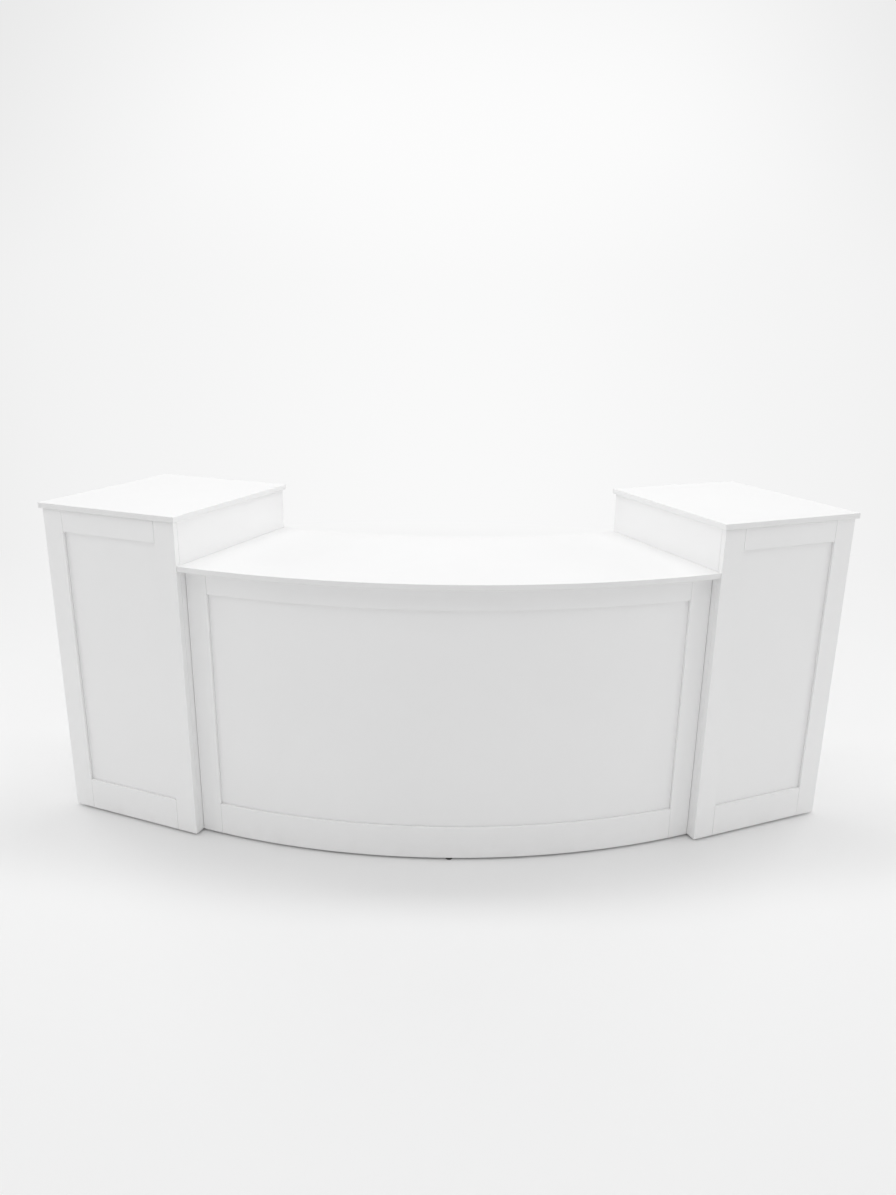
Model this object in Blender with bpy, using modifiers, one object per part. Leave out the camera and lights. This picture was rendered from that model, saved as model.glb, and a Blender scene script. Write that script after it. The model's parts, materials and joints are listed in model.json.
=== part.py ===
"""Bar counter: two square towers with a lower, bowed counter between them, framed and panelled in front.

Everything is laid out round the centre of the bow. A place is given by its radius from that centre, its
height above the floor, and its distance across. On a tower, across is measured outwards from the tower's
inner face, so the counter's own boards lie at distances below zero. The front looks towards -Y, the open
serving side towards +Y, and the origin is on the floor in the middle of the footprint.
"""
import math

import bmesh
import bpy
from mathutils import Matrix, Vector

# Overall sizes, in metres
TOWER_HEIGHT = 1.067
TOWER_WIDTH = 0.500
TOWER_DEPTH = 0.600
COUNTER_HEIGHT = 0.915
COUNTER_RADIUS = 2.120
BOW_HALF_ANGLE = math.radians(22.2)
TOWER_STEP = 0.038
FLOOR_GAP = 0.008

# Case boards and tops
BOARD = 0.018
TOP_THICKNESS = 0.018
TOWER_TOP_OVERHANG = 0.009
COUNTER_FRONT_OVERHANG = 0.036
COUNTER_BACK_OVERHANG = 0.009
TOP_EDGE_ROUND = 0.0015
DECK_LIFT = 0.030
TOWER_SHELF_LIFT = 0.480
COUNTER_SHELF_LIFT = 0.430
SHELF_SETBACK = 0.020
BACK_RAIL_HEIGHT = 0.080
HOUSING_DEPTH = 0.006

# Front frames: the panel lies in a rebate cut from the back of the stiles and rails
FRAME_THICKNESS = 0.018
STILE_WIDTH = 0.073
TOP_RAIL_HEIGHT = 0.070
BOTTOM_RAIL_HEIGHT = 0.107
REBATE_DEPTH = 0.009
REBATE_WIDTH = 0.010

# Screw-in feet
FOOT_RADIUS = 0.011
FOOT_PAD_HEIGHT = 0.003
FOOT_COLLAR_RADIUS = 0.007
FOOT_STEM_RADIUS = 0.003
FOOT_STEM_LENGTH = 0.022
FOOT_EDGE = 0.0008
TOWER_FOOT_INSET = 0.060
COUNTER_FOOT_INSET = 0.120
MIDDLE_FOOT_INSET = 0.012
MIDDLE_FOOT_ACROSS = 0.011

# Connector bolts that hold the counter's ends to the towers
CONNECTOR_LOW = 0.230
CONNECTOR_HIGH = 0.700
CONNECTOR_INSET = 0.300
CONNECTOR_FLANGE_RADIUS = 0.0085
CONNECTOR_FLANGE_THICKNESS = 0.002
SLEEVE_RADIUS = 0.0045
SLEEVE_SHORTFALL = 0.004
BOLT_RADIUS = 0.003
BOLT_REACH = 0.010

# Clearance between neighbours, how far a cutter runs past what it cuts, and the facets of round shapes
FIT = 0.0003
OVERCUT = 0.010
BOW_STEPS = 48
TURNED_STEPS = 16

# Places worked out from the sizes above
TOWER_FRONT = COUNTER_RADIUS + TOWER_STEP
TOWER_BACK = TOWER_FRONT - TOWER_DEPTH
COUNTER_TOP_FRONT = COUNTER_RADIUS + COUNTER_FRONT_OVERHANG
COUNTER_TOP_BACK = TOWER_BACK
COUNTER_BACK = COUNTER_TOP_BACK + COUNTER_BACK_OVERHANG
TOWER_CASE_TOP = TOWER_HEIGHT - TOP_THICKNESS - FIT
COUNTER_CASE_TOP = COUNTER_HEIGHT - TOP_THICKNESS - FIT
DECK_LOW = FLOOR_GAP + DECK_LIFT
SIDES = {"left": -1, "right": 1}
SWEEP_HALF_ANGLE = BOW_HALF_ANGLE + math.atan(OVERCUT / COUNTER_BACK)


def bow_centre_y():
    """Where the bow's centre lies in Y when the footprint's middle is at zero."""
    across, along = math.sin(BOW_HALF_ANGLE), math.cos(BOW_HALF_ANGLE)
    tower_corner = (TOWER_FRONT + TOWER_TOP_OVERHANG) * along + TOWER_TOP_OVERHANG * across
    front = max(COUNTER_TOP_FRONT, tower_corner)
    back = (TOWER_BACK - TOWER_TOP_OVERHANG) * along - (TOWER_WIDTH + TOWER_TOP_OVERHANG) * across
    return (front + back) / 2


def clear_scene():
    for item in list(bpy.data.objects):
        bpy.data.objects.remove(item, do_unlink=True)


def new_collection(name):
    collection = bpy.data.collections.new(name)
    bpy.context.scene.collection.children.link(collection)
    return collection


def new_material(name, colour, roughness, metallic=0.0):
    material = bpy.data.materials.new(name)
    material.use_nodes = True
    shader = material.node_tree.nodes["Principled BSDF"]
    shader.inputs["Base Color"].default_value = (*colour, 1.0)
    shader.inputs["Roughness"].default_value = roughness
    shader.inputs["Metallic"].default_value = metallic
    return material


clear_scene()
PARTS = new_collection("bar_counter")
CUTTERS = new_collection("cutters")
PAINT = new_material("white_paint", (0.90, 0.90, 0.90), 0.42)
INSIDE = new_material("white_lining", (0.87, 0.87, 0.865), 0.50)
NYLON = new_material("dark_nylon", (0.03, 0.03, 0.032), 0.55)
PLATED = new_material("plated_steel", (0.72, 0.71, 0.69), 0.30, 1.0)


def new_empty(name, parent=None):
    empty = bpy.data.objects.new(name, None)
    empty.parent = parent
    PARTS.objects.link(empty)
    return empty


BOW = new_empty("bow_centre")
BOW.location.y = bow_centre_y()
FRAMES = {}
for side_name, side in SIDES.items():
    FRAMES[side_name] = new_empty(side_name + "_end_line", BOW)
    FRAMES[side_name].rotation_euler.z = side * BOW_HALF_ANGLE


def new_object(name, mesh, parent, material):
    """Put a mesh into the model; a piece with no material is a cutter."""
    item = bpy.data.objects.new(name, mesh)
    item.parent = parent
    if material:
        PARTS.objects.link(item)
        if not mesh.materials:
            mesh.materials.append(material)
    else:
        CUTTERS.objects.link(item)
        item.hide_render = True
        item.display_type = "WIRE"
    return item


def finished_mesh(name, shape):
    """Turn a bmesh into a mesh with its faces pointing out."""
    bmesh.ops.recalc_face_normals(shape, faces=shape.faces)
    mesh = bpy.data.meshes.new(name)
    shape.to_mesh(mesh)
    shape.free()
    return mesh


def board(name, parent, across, radii, heights, material=None):
    """A straight board between two distances across, two radii and two heights."""
    low = Vector((min(across), -max(radii), min(heights)))
    high = Vector((max(across), -min(radii), max(heights)))
    shape = bmesh.new()
    bmesh.ops.create_cube(shape, size=1.0, matrix=Matrix.Diagonal((*(high - low), 1.0)))
    item = new_object(name, finished_mesh(name, shape), parent, material)
    item.location = (low + high) / 2
    return item


def end_plane(side, across):
    """The plane that keeps what lies inwards of a distance across, at one end of the bow."""
    outward = Vector((side * math.cos(BOW_HALF_ANGLE), math.sin(BOW_HALF_ANGLE), 0.0))
    return outward * across, outward


def inner_plane(side, across):
    """The plane that keeps what lies outwards of a distance across, at one end of the bow."""
    point, outward = end_plane(side, across)
    return point, -outward


def middle_plane(side, distance):
    """The plane that keeps one half of the bow, from a distance beside its middle."""
    return Vector((side * distance, 0.0, 0.0)), Vector((-side, 0.0, 0.0))


def saw(shape, plane):
    """Saw a closed shape along a plane, drop what lies beyond it and close the cut."""
    point, outward = plane
    everything = shape.verts[:] + shape.edges[:] + shape.faces[:]
    cut = bmesh.ops.bisect_plane(
        shape, geom=everything, dist=1e-6, plane_co=point, plane_no=outward, clear_outer=True
    )
    rim = [item for item in cut["geom_cut"] if isinstance(item, bmesh.types.BMEdge)]
    bmesh.ops.edgeloop_fill(shape, edges=rim)


def bowed(name, radii, heights, planes, material=None):
    """A bowed board: a rectangle swept round the bow's centre past both ends, then sawn to length."""
    shape = bmesh.new()
    start = Matrix.Rotation(-SWEEP_HALF_ANGLE, 3, "Z")
    near, far = min(radii), max(radii)
    low, high = min(heights), max(heights)
    outline = [(near, low), (far, low), (far, high), (near, high)]
    section = shape.faces.new([shape.verts.new(start @ Vector((0.0, -r, z))) for r, z in outline])
    bmesh.ops.spin(
        shape,
        geom=[section] + section.edges[:] + section.verts[:],
        axis=(0.0, 0.0, 1.0),
        cent=(0.0, 0.0, 0.0),
        angle=2 * SWEEP_HALF_ANGLE,
        steps=BOW_STEPS,
    )
    bmesh.ops.recalc_face_normals(shape, faces=shape.faces)
    for plane in planes:
        saw(shape, plane)
    return new_object(name, finished_mesh(name, shape), BOW, material)


def turned_mesh(name, profile, material):
    """A mesh turned about Z from (radius, height) points that run down its outer side, both ends on the axis."""
    mesh = bpy.data.meshes.new(name + "_profile")
    points = [(radius, 0.0, height) for radius, height in profile]
    mesh.from_pydata(points, [(i, i + 1) for i in range(len(points) - 1)], [])
    blank = bpy.data.objects.new(name + "_profile", mesh)
    CUTTERS.objects.link(blank)
    screw = blank.modifiers.new("turn", "SCREW")
    screw.steps = TURNED_STEPS
    screw.render_steps = TURNED_STEPS
    screw.use_merge_vertices = True
    screw.merge_threshold = 0.00001
    solid = bpy.data.meshes.new_from_object(blank.evaluated_get(bpy.context.evaluated_depsgraph_get()))
    solid.name = name
    solid.materials.append(material)
    solid.shade_smooth()
    solid.set_sharp_from_angle(angle=math.radians(40))
    bpy.data.objects.remove(blank, do_unlink=True)
    return solid


def drill(name, parent, radius, length):
    """A round cutter along its own Z, with its middle at its origin."""
    shape = bmesh.new()
    bmesh.ops.create_cone(
        shape, cap_ends=True, segments=TURNED_STEPS, radius1=radius, radius2=radius, depth=length
    )
    return new_object(name, finished_mesh(name, shape), parent, None)


def cut(piece, *cutters):
    for cutter in cutters:
        modifier = piece.modifiers.new(cutter.name, "BOOLEAN")
        modifier.operation = "DIFFERENCE"
        modifier.object = cutter


def round_edges(piece):
    modifier = piece.modifiers.new("eased_edges", "BEVEL")
    modifier.width = TOP_EDGE_ROUND
    modifier.segments = 2
    modifier.limit_method = "ANGLE"
    modifier.angle_limit = math.radians(60)


def span(low, thickness):
    return (low, low + thickness)


def widened(pair, by):
    return (min(pair) - by, max(pair) + by)


def housing_radii(layer_radii):
    """A housing runs out at the front and stops just behind the board that it takes."""
    return (min(layer_radii) - FIT, max(layer_radii) + OVERCUT)


def foot_mesh():
    """A foot's outline: stem, collar and a pad with eased edges, standing on Z = 0."""
    collar_top = FLOOR_GAP - FIT
    profile = [
        (0.0, collar_top + FOOT_STEM_LENGTH),
        (FOOT_STEM_RADIUS - FOOT_EDGE, collar_top + FOOT_STEM_LENGTH),
        (FOOT_STEM_RADIUS, collar_top + FOOT_STEM_LENGTH - FOOT_EDGE),
        (FOOT_STEM_RADIUS, collar_top),
        (FOOT_COLLAR_RADIUS, collar_top),
        (FOOT_COLLAR_RADIUS, FOOT_PAD_HEIGHT + FOOT_EDGE),
        (FOOT_RADIUS - FOOT_EDGE, FOOT_PAD_HEIGHT),
        (FOOT_RADIUS, FOOT_PAD_HEIGHT - FOOT_EDGE),
        (FOOT_RADIUS, FOOT_EDGE),
        (FOOT_RADIUS - FOOT_EDGE, 0.0),
        (0.0, 0.0),
    ]
    return turned_mesh("foot", profile, NYLON)


FOOT_MESH = foot_mesh()


def foot(name, parent, across, radius, carrier):
    """Screw one foot up into the bottom edge of the board that it carries."""
    item = new_object(name, FOOT_MESH, parent, NYLON)
    item.location = (across, -radius, 0.0)
    hole_length = 2 * (FOOT_STEM_LENGTH + FIT)
    hole = drill(name + "_hole", parent, FOOT_STEM_RADIUS + FIT, hole_length)
    hole.location = (across, -radius, FLOOR_GAP)
    cut(carrier, hole)


def tower_frame(prefix, frame, side):
    """The flat front of a tower: stiles, rails and the panel in their rebate."""
    front = (TOWER_FRONT - FRAME_THICKNESS, TOWER_FRONT)
    rebate_face = TOWER_FRONT - FRAME_THICKNESS + REBATE_DEPTH
    full_height = (FLOOR_GAP, TOWER_CASE_TOP)
    open_low = FLOOR_GAP + BOTTOM_RAIL_HEIGHT
    open_high = TOWER_CASE_TOP - TOP_RAIL_HEIGHT
    near, far = STILE_WIDTH, TOWER_WIDTH - STILE_WIDTH

    def across(low, high):
        return (side * low, side * high)

    rebate_radii = (rebate_face, front[0] - OVERCUT)
    lap_radii = (rebate_face - FIT, TOWER_FRONT + OVERCUT)
    tall = widened(full_height, OVERCUT)
    stile_rebate = board(
        prefix + "stile_rebate", frame, across(near - REBATE_WIDTH, far + REBATE_WIDTH), rebate_radii, tall
    )
    rail_rebate = board(
        prefix + "rail_rebate",
        frame,
        across(-OVERCUT, TOWER_WIDTH + OVERCUT),
        rebate_radii,
        (open_low - REBATE_WIDTH, open_high + REBATE_WIDTH),
    )
    inner_lap = board(prefix + "inner_lap", frame, across(-OVERCUT, near + FIT), lap_radii, tall)
    outer_lap = board(
        prefix + "outer_lap", frame, across(far - FIT, TOWER_WIDTH + OVERCUT), lap_radii, tall
    )

    inner_stile = board(prefix + "inner_stile", frame, across(0.0, near), front, full_height, PAINT)
    outer_stile = board(
        prefix + "outer_stile", frame, across(far, TOWER_WIDTH), front, full_height, PAINT
    )
    for stile in (inner_stile, outer_stile):
        cut(stile, stile_rebate)

    rail_across = across(near - REBATE_WIDTH + FIT, far + REBATE_WIDTH - FIT)
    bottom_rail = board(
        prefix + "bottom_rail", frame, rail_across, front, (FLOOR_GAP, open_low), PAINT
    )
    top_rail = board(prefix + "top_rail", frame, rail_across, front, (open_high, TOWER_CASE_TOP), PAINT)
    for rail in (bottom_rail, top_rail):
        cut(rail, rail_rebate, inner_lap, outer_lap)

    board(
        prefix + "front_panel",
        frame,
        rail_across,
        (front[0], rebate_face - FIT),
        (open_low - REBATE_WIDTH + FIT, open_high + REBATE_WIDTH - FIT),
        PAINT,
    )


def tower_case(prefix, frame, side):
    """The tower's box behind its front: sides, deck, shelf, back rail and top. Returns both sides."""
    radii = (TOWER_BACK, TOWER_FRONT - FRAME_THICKNESS - FIT)
    full_height = (FLOOR_GAP, TOWER_CASE_TOP)
    inner_side = board(prefix + "inner_side", frame, (0.0, side * BOARD), radii, full_height, PAINT)
    outer_side = board(
        prefix + "outer_side",
        frame,
        (side * (TOWER_WIDTH - BOARD), side * TOWER_WIDTH),
        radii,
        full_height,
        PAINT,
    )

    housed = BOARD - HOUSING_DEPTH
    layer_across = (side * (housed + FIT), side * (TOWER_WIDTH - housed - FIT))
    housing_across = (side * housed, side * (TOWER_WIDTH - housed))
    shelf_radii = (TOWER_BACK + SHELF_SETBACK, radii[1])
    shelf_heights = span(FLOOR_GAP + TOWER_SHELF_LIFT, BOARD)
    for layer, layer_radii, heights in (
        ("deck", radii, span(DECK_LOW, BOARD)),
        ("shelf", shelf_radii, shelf_heights),
    ):
        board(prefix + layer, frame, layer_across, layer_radii, heights, INSIDE)
        housing = board(
            prefix + layer + "_housing",
            frame,
            housing_across,
            housing_radii(layer_radii),
            widened(heights, FIT),
        )
        cut(inner_side, housing)
        cut(outer_side, housing)

    board(
        prefix + "back_rail",
        frame,
        (side * (BOARD + FIT), side * (TOWER_WIDTH - BOARD - FIT)),
        span(TOWER_BACK, BOARD),
        (TOWER_CASE_TOP - BACK_RAIL_HEIGHT, TOWER_CASE_TOP),
        INSIDE,
    )
    top = board(
        prefix + "top",
        frame,
        (-side * TOWER_TOP_OVERHANG, side * (TOWER_WIDTH + TOWER_TOP_OVERHANG)),
        widened((TOWER_BACK, TOWER_FRONT), TOWER_TOP_OVERHANG),
        (TOWER_HEIGHT - TOP_THICKNESS, TOWER_HEIGHT),
        PAINT,
    )
    round_edges(top)
    return inner_side, outer_side


def tower(side_name):
    """One tower on four feet, two under each side board. Returns its inner side."""
    side, frame, prefix = SIDES[side_name], FRAMES[side_name], side_name + "_tower_"
    tower_frame(prefix, frame, side)
    inner_side, outer_side = tower_case(prefix, frame, side)
    middles = {"inner": (inner_side, BOARD / 2), "outer": (outer_side, TOWER_WIDTH - BOARD / 2)}
    places = {"front": TOWER_FRONT - TOWER_FOOT_INSET, "back": TOWER_BACK + TOWER_FOOT_INSET}
    for edge, (carrier, middle) in middles.items():
        for place, radius in places.items():
            foot(prefix + edge + "_" + place + "_foot", frame, side * middle, radius, carrier)
    return inner_side


def counter_frame():
    """The bowed front: the same frame as a tower's, swept round the bow. Returns its bottom rail."""
    front = (COUNTER_RADIUS - FRAME_THICKNESS, COUNTER_RADIUS)
    rebate_face = COUNTER_RADIUS - FRAME_THICKNESS + REBATE_DEPTH
    full_height = (FLOOR_GAP, COUNTER_CASE_TOP)
    open_low = FLOOR_GAP + BOTTOM_RAIL_HEIGHT
    open_high = COUNTER_CASE_TOP - TOP_RAIL_HEIGHT
    rebate_end = REBATE_WIDTH - STILE_WIDTH

    def both_ends(across):
        return [end_plane(side, across) for side in SIDES.values()]

    rebate_radii = (front[0] - OVERCUT, rebate_face)
    lap_radii = (rebate_face - FIT, COUNTER_RADIUS + OVERCUT)
    tall = widened(full_height, OVERCUT)
    stile_rebate = bowed("counter_stile_rebate", rebate_radii, tall, both_ends(rebate_end))
    rail_rebate = bowed(
        "counter_rail_rebate", rebate_radii, (open_low - REBATE_WIDTH, open_high + REBATE_WIDTH), []
    )
    laps = [
        bowed("counter_" + name + "_lap", lap_radii, tall, [inner_plane(side, -STILE_WIDTH - FIT)])
        for name, side in SIDES.items()
    ]

    for name, side in SIDES.items():
        sawn = [end_plane(side, -FIT), inner_plane(side, -STILE_WIDTH)]
        cut(bowed("counter_" + name + "_stile", front, full_height, sawn, PAINT), stile_rebate)

    housed = both_ends(rebate_end - FIT)
    bottom_rail = bowed("counter_bottom_rail", front, (FLOOR_GAP, open_low), housed, PAINT)
    top_rail = bowed("counter_top_rail", front, (open_high, COUNTER_CASE_TOP), housed, PAINT)
    for rail in (bottom_rail, top_rail):
        cut(rail, rail_rebate, *laps)

    bowed(
        "counter_front_panel",
        (front[0], rebate_face - FIT),
        (open_low - REBATE_WIDTH + FIT, open_high + REBATE_WIDTH - FIT),
        housed,
        PAINT,
    )
    return bottom_rail


def counter_case():
    """The counter behind its front: ends, divider, decks, shelves, back rails and top.

    Returns the two ends by side and the divider.
    """
    radii = (COUNTER_BACK, COUNTER_RADIUS - FRAME_THICKNESS - FIT)
    full_height = (FLOOR_GAP, COUNTER_CASE_TOP)
    end_inner = -FIT - BOARD
    divider = board("counter_divider", BOW, (-BOARD / 2, BOARD / 2), radii, full_height, INSIDE)
    ends = {}
    shelf_heights = span(FLOOR_GAP + COUNTER_SHELF_LIFT, BOARD)
    shelf_radii = (COUNTER_BACK + SHELF_SETBACK, radii[1])
    for name, side in SIDES.items():
        prefix = "counter_" + name + "_"
        end = board(
            prefix + "end", FRAMES[name], (side * end_inner, -side * FIT), radii, full_height, INSIDE
        )
        ends[name] = end

        housing_end = end_inner + HOUSING_DEPTH
        housing_middle = BOARD / 2 - HOUSING_DEPTH
        layer_planes = [end_plane(side, housing_end - FIT), middle_plane(side, housing_middle + FIT)]
        housing_planes = [end_plane(side, housing_end), middle_plane(side, housing_middle)]
        for layer, layer_radii, heights in (
            ("deck", radii, span(DECK_LOW, BOARD)),
            ("shelf", shelf_radii, shelf_heights),
        ):
            bowed(prefix + layer, layer_radii, heights, layer_planes, INSIDE)
            housing = bowed(
                prefix + layer + "_housing",
                housing_radii(layer_radii),
                widened(heights, FIT),
                housing_planes,
            )
            cut(end, housing)
            cut(divider, housing)

        bowed(
            prefix + "back_rail",
            span(COUNTER_BACK, BOARD),
            (COUNTER_CASE_TOP - BACK_RAIL_HEIGHT, COUNTER_CASE_TOP),
            [end_plane(side, end_inner - FIT), middle_plane(side, BOARD / 2 + FIT)],
            INSIDE,
        )

    top = bowed(
        "counter_top",
        (COUNTER_TOP_BACK, COUNTER_TOP_FRONT),
        (COUNTER_HEIGHT - TOP_THICKNESS, COUNTER_HEIGHT),
        [end_plane(side, -FIT) for side in SIDES.values()],
        PAINT,
    )
    round_edges(top)
    return ends, divider


def counter():
    """The bowed counter on six feet. Returns its two ends by side."""
    bottom_rail = counter_frame()
    ends, divider = counter_case()
    back = COUNTER_BACK + COUNTER_FOOT_INSET
    for name, side in SIDES.items():
        middle = -side * (FIT + BOARD / 2)
        prefix = "counter_" + name + "_"
        foot(prefix + "front_foot", FRAMES[name], middle, COUNTER_RADIUS - COUNTER_FOOT_INSET, ends[name])
        foot(prefix + "back_foot", FRAMES[name], middle, back, ends[name])
    foot("counter_middle_back_foot", BOW, 0.0, back, divider)
    foot(
        "counter_middle_front_foot",
        BOW,
        MIDDLE_FOOT_ACROSS,
        COUNTER_RADIUS - MIDDLE_FOOT_INSET,
        bottom_rail,
    )
    return ends


def sleeve_mesh():
    """A connector's sleeve nut: a flange on a tube that is open at its lower end."""
    bore = BOLT_RADIUS + FIT
    length = 2 * BOARD + FIT - SLEEVE_SHORTFALL
    bore_end = -length + BOARD + BOLT_REACH
    profile = [
        (0.0, CONNECTOR_FLANGE_THICKNESS),
        (CONNECTOR_FLANGE_RADIUS, CONNECTOR_FLANGE_THICKNESS),
        (CONNECTOR_FLANGE_RADIUS, 0.0),
        (SLEEVE_RADIUS, 0.0),
        (SLEEVE_RADIUS, -length),
        (bore, -length),
        (bore, bore_end),
        (0.0, bore_end),
    ]
    return turned_mesh("connector_sleeve", profile, PLATED)


def bolt_mesh():
    """A connector's bolt: a flange and a plain shank that runs into the sleeve."""
    profile = [
        (0.0, CONNECTOR_FLANGE_THICKNESS),
        (CONNECTOR_FLANGE_RADIUS, CONNECTOR_FLANGE_THICKNESS),
        (CONNECTOR_FLANGE_RADIUS, 0.0),
        (BOLT_RADIUS, 0.0),
        (BOLT_RADIUS, -BOARD - BOLT_REACH + SLEEVE_SHORTFALL),
        (0.0, -BOARD - BOLT_REACH + SLEEVE_SHORTFALL),
    ]
    return turned_mesh("connector_bolt", profile, PLATED)


def connectors(side_name, tower_side, counter_end):
    """The two connectors through a tower's inner side and the counter's end beside it."""
    side, frame = SIDES[side_name], FRAMES[side_name]
    radius = TOWER_BACK + CONNECTOR_INSET
    outward = math.radians(90) * side
    for place, height in (("low", CONNECTOR_LOW), ("high", CONNECTOR_HIGH)):
        prefix = side_name + "_" + place + "_connector_"
        hole = drill(prefix + "hole", frame, SLEEVE_RADIUS + FIT, 4 * BOARD)
        hole.location = (0.0, -radius, height)
        hole.rotation_euler.y = outward
        cut(tower_side, hole)
        cut(counter_end, hole)

        sleeve = new_object(prefix + "sleeve", SLEEVE_MESH, frame, PLATED)
        sleeve.location = (side * (BOARD + FIT), -radius, height)
        sleeve.rotation_euler.y = outward
        bolt = new_object(prefix + "bolt", BOLT_MESH, frame, PLATED)
        bolt.location = (-side * (2 * FIT + BOARD), -radius, height)
        bolt.rotation_euler.y = -outward


SLEEVE_MESH = sleeve_mesh()
BOLT_MESH = bolt_mesh()
counter_ends = counter()
for side_name in SIDES:
    connectors(side_name, tower(side_name), counter_ends[side_name])
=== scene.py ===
"""Looks of the bar counter: white painted boards with eased edges, screw-in feet and plated connectors.

The plan is the model's own: everything lies round the centre of the bow. On a tower, across is measured
outwards from the tower's inner face, so the counter's own boards lie at distances below zero.
"""
import json
import math

import bmesh
import bpy
import numpy as np
from mathutils import Matrix, Vector

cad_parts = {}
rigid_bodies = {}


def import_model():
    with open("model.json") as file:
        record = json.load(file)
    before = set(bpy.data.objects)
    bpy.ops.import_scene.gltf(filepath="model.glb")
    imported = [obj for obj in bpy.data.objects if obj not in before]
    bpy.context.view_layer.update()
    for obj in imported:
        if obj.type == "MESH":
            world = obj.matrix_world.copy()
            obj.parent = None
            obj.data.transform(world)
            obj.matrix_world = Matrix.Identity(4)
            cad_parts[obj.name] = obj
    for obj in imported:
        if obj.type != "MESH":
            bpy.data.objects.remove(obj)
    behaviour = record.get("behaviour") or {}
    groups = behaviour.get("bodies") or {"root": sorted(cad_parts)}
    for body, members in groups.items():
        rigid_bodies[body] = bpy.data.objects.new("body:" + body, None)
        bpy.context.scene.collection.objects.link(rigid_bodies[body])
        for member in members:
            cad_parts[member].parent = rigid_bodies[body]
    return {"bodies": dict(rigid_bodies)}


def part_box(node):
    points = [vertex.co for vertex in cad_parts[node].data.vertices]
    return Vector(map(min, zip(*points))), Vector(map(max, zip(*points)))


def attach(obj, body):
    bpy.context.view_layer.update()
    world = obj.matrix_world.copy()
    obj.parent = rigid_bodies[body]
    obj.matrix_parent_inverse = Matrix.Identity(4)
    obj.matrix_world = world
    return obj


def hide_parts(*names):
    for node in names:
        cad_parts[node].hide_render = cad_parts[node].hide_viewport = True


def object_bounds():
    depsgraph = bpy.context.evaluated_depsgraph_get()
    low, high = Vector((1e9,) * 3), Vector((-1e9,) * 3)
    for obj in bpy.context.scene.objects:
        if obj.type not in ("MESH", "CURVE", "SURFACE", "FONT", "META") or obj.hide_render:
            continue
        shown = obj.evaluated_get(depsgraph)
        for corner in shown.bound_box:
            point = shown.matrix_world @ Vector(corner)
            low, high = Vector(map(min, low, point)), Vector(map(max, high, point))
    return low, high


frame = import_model()
cad_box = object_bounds()

# Plan of the model, in metres
BOW_RADIUS = 2.120
HALF_TURN = math.radians(22.2)
TOWER_STEP = 0.038
TOWER_WIDTH = 0.500
TOWER_DEPTH = 0.600
TOWER_OVERHANG = 0.009
FRONT_OVERHANG = 0.036
BACK_OVERHANG = 0.009
BOARD = 0.018
FRAME_THICKNESS = 0.018
STILE_WIDTH = 0.073
REBATE_DEPTH = 0.009
REBATE_WIDTH = 0.010
SHELF_SETBACK = 0.020
FIT = 0.0003

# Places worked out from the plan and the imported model
TOWER_FRONT = BOW_RADIUS + TOWER_STEP
TOWER_BACK = TOWER_FRONT - TOWER_DEPTH
TOP_FRONT = BOW_RADIUS + FRONT_OVERHANG
COUNTER_BACK = TOWER_BACK + BACK_OVERHANG
BOW_Y = cad_box[0][1] + TOP_FRONT
COS, SIN = math.cos(HALF_TURN), math.sin(HALF_TURN)
SIDES = {"left": -1, "right": 1}

# Feet, in metres, and how many columns and rows shape them
STEM_RADIUS = 0.003
STEM_LENGTH = 0.022
STEM_START = 0.00005
THREAD_PITCH = 0.001
THREAD_DEPTH = 0.0006
THREAD_FULLNESS = 1.3
THREAD_COLUMNS = 20
THREAD_ROWS = 133
FOOT_COLUMNS = 48
COLLAR_START = 0.0040
COLLAR_APOTHEM = 0.0062
COLLAR_CORNER = 0.0068
COLLAR_BORE = 0.0034

# The pad's profile, as radius and height, and the collar's upper edge, as set-in and depth below its top
PAD_PROFILE = [
    (0.0070, 0.0004), (0.0078, 0.0004), (0.0083, 0.0002), (0.0086, 0.0000), (0.0102, 0.0000),
    (0.0106, 0.0001), (0.0109, 0.0004), (0.0110, 0.0008), (0.0110, 0.0020), (0.0109, 0.0024),
    (0.0106, 0.0027), (0.0102, 0.0029), (0.0078, 0.0034), (0.0072, 0.0036),
]
COLLAR_EDGE = [(0.0000, 0.0009), (0.0002, 0.0005), (0.0007, 0.0001), (0.0010, 0.0000)]

# Connectors, in metres
CONNECTOR_HEIGHTS = {"low": 0.230, "high": 0.700}
CONNECTOR_INSET = 0.300
CONNECTOR_COLUMNS = 48
SOCKET_APOTHEM = 0.0020
SOCKET_CORNER = 0.00228
SOCKET_LEVELS = [0.0004, 0.0019]
SLEEVE_RADIUS = 0.0045
SLEEVE_BORE = 0.0033
SLEEVE_SHORTFALL = 0.004
BOLT_RADIUS = 0.0030
BOLT_REACH = 0.010

# The flange's profile, as radius and distance out from the face that it bears on, and the rows of its rim
FLANGE_PROFILE = [
    (0.0028, 0.0020), (0.0036, 0.00205), (0.0052, 0.0019), (0.0068, 0.00155), (0.0079, 0.0011),
    (0.0084, 0.0007), (0.0085, 0.0003), (0.0083, 0.0000),
]
FLANGE_RIM = slice(2, 6)

# The far ends of the sleeve and the bolt, as radius and distance from the end
SLEEVE_END = [(0.0045, 0.0004), (0.0042, 0.0000), (0.0035, 0.0000), (0.0033, 0.0002)]
BOLT_END = [(0.0030, 0.0006), (0.0024, 0.0000)]

# Easing of edges, the line that paint leaves at a joint, and how finely round stretches are divided
TOP_EASING = 0.0012
TOP_UNDER_EASING = 0.0035
FRAME_EASING = 0.0010
BOARD_EASING = 0.0008
PAINT_LINE = 0.0003
UNIT_LINE = 0.0012
HOLD = 0.003
MERGE = 0.000001
ARC_STEPS = 4
STILE_STEPS = 4
BOW_STEPS = 96
SHARP_ANGLE = math.radians(40)

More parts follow.
